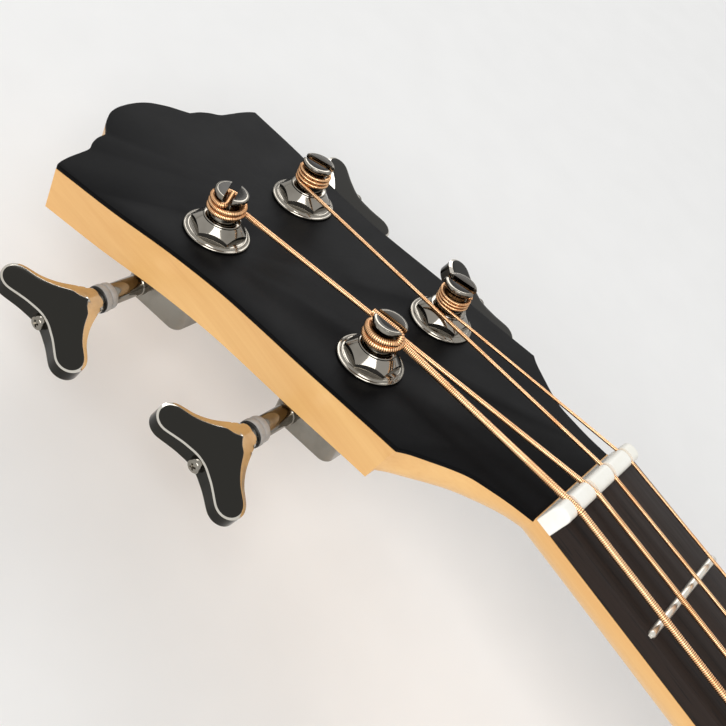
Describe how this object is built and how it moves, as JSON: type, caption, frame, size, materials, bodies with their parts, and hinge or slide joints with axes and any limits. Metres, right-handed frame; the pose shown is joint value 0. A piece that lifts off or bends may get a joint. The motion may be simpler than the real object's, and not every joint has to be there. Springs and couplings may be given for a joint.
{
  "type": "acoustic bass guitar",
  "caption": "Short-scale acoustic bass guitar: hollow waisted body, round sound hole, bolted neck, black-faced slanted headstock and worm-geared tuning keys.",
  "frame": {"origin": "on the back's outer face, on the centre line, halfway along the body", "axes": "+Z out of the soundboard, +Y towards the headstock, +X towards the thinnest string"},
  "size_m": [0.3484, 0.9471, 0.1135],
  "materials": {
    "spruce": "satin lacquer",
    "mahogany": "satin lacquer",
    "maple": "satin lacquer",
    "cedar": "raw wood",
    "ebony": "oiled dark wood",
    "black": "satin black",
    "cream": "polished",
    "bone": null,
    "nickel": "polished nickel",
    "steel": "plain",
    "bronze": "wound phosphor bronze",
    "grey": "light grey"
  },
  "bodies": {
    "instrument": {"back": "mahogany", "top": "spruce", "side_bass": "mahogany", "side_treble": "mahogany", "back_lining_bass": "cedar", "back_lining_treble": "cedar", "top_lining_bass": "cedar", "top_lining_treble": "cedar", "back_binding": "cream", "top_binding": "cream", "neck_block": "mahogany", "tail_block": "mahogany", "x_brace": "cedar", "upper_brace": "cedar", "back_bracing": "cedar", "bridge_plate": "maple", "bridge": "ebony", "saddle": "bone", "end_pin": "black", "truss_rod": "steel", "bridge_pin_e": "black", "bridge_pin_a": "black", "bridge_pin_d": "black", "bridge_pin_g": "black", "neck": "maple", "fingerboard": "ebony", "nut": "bone", "string_e": "bronze", "string_a": "bronze", "string_d": "bronze", "string_g": "bronze", "head_overlay": "black", "bushing_e": "nickel", "housing_e": "nickel", "collar_e": "grey", "bushing_a": "nickel", "housing_a": "nickel", "collar_a": "grey", "bushing_d": "nickel", "housing_d": "nickel", "collar_d": "grey", "bushing_g": "nickel", "housing_g": "nickel", "collar_g": "grey"},
    "key_body_e": {"worm_e": "nickel", "key_e": "nickel"},
    "post_body_e": {"post_e": "nickel", "winding_e": "bronze"},
    "key_body_a": {"worm_a": "nickel", "key_a": "nickel"},
    "post_body_a": {"post_a": "nickel", "winding_a": "bronze"},
    "key_body_d": {"worm_d": "nickel", "key_d": "nickel"},
    "post_body_d": {"post_d": "nickel", "winding_d": "bronze"},
    "key_body_g": {"worm_g": "nickel", "key_g": "nickel"},
    "post_body_g": {"post_g": "nickel", "winding_g": "bronze"}
  },
  "joints": [
    {"name": "key_turn_e", "type": "hinge", "parent": "instrument", "child": "key_body_e", "pos_m": [-0.01718, 0.61132, 0.06232], "axis": [1, 0, 0], "continuous": true},
    {"name": "post_turn_e", "type": "hinge", "parent": "instrument", "child": "post_body_e", "pos_m": [-0.01718, 0.60833, 0.08474], "axis": [0, 0.2453, 0.9694], "continuous": true, "deforming": ["string_e"]},
    {"name": "key_turn_a", "type": "hinge", "parent": "instrument", "child": "key_body_a", "pos_m": [-0.01905, 0.66867, 0.04781], "axis": [1, 0, 0], "continuous": true},
    {"name": "post_turn_a", "type": "hinge", "parent": "instrument", "child": "post_body_a", "pos_m": [-0.01905, 0.66568, 0.07023], "axis": [0, 0.2453, 0.9694], "continuous": true, "deforming": ["string_a"]},
    {"name": "key_turn_d", "type": "hinge", "parent": "instrument", "child": "key_body_d", "pos_m": [0.02095, 0.66867, 0.04781], "axis": [1, 0, 0], "continuous": true},
    {"name": "post_turn_d", "type": "hinge", "parent": "instrument", "child": "post_body_d", "pos_m": [0.02095, 0.66568, 0.07023], "axis": [0, 0.2453, 0.9694], "continuous": true, "deforming": ["string_d"]},
    {"name": "key_turn_g", "type": "hinge", "parent": "instrument", "child": "key_body_g", "pos_m": [0.01908, 0.61132, 0.06232], "axis": [1, 0, 0], "continuous": true},
    {"name": "post_turn_g", "type": "hinge", "parent": "instrument", "child": "post_body_g", "pos_m": [0.01908, 0.60833, 0.08474], "axis": [0, 0.2453, 0.9694], "continuous": true, "deforming": ["string_g"]}
  ],
  "couplings": [
    {"joint": "post_turn_e", "follows": "key_turn_e", "ratio": 0.05},
    {"joint": "post_turn_a", "follows": "key_turn_a", "ratio": 0.05},
    {"joint": "post_turn_d", "follows": "key_turn_d", "ratio": -0.05},
    {"joint": "post_turn_g", "follows": "key_turn_g", "ratio": -0.05}
  ]
}
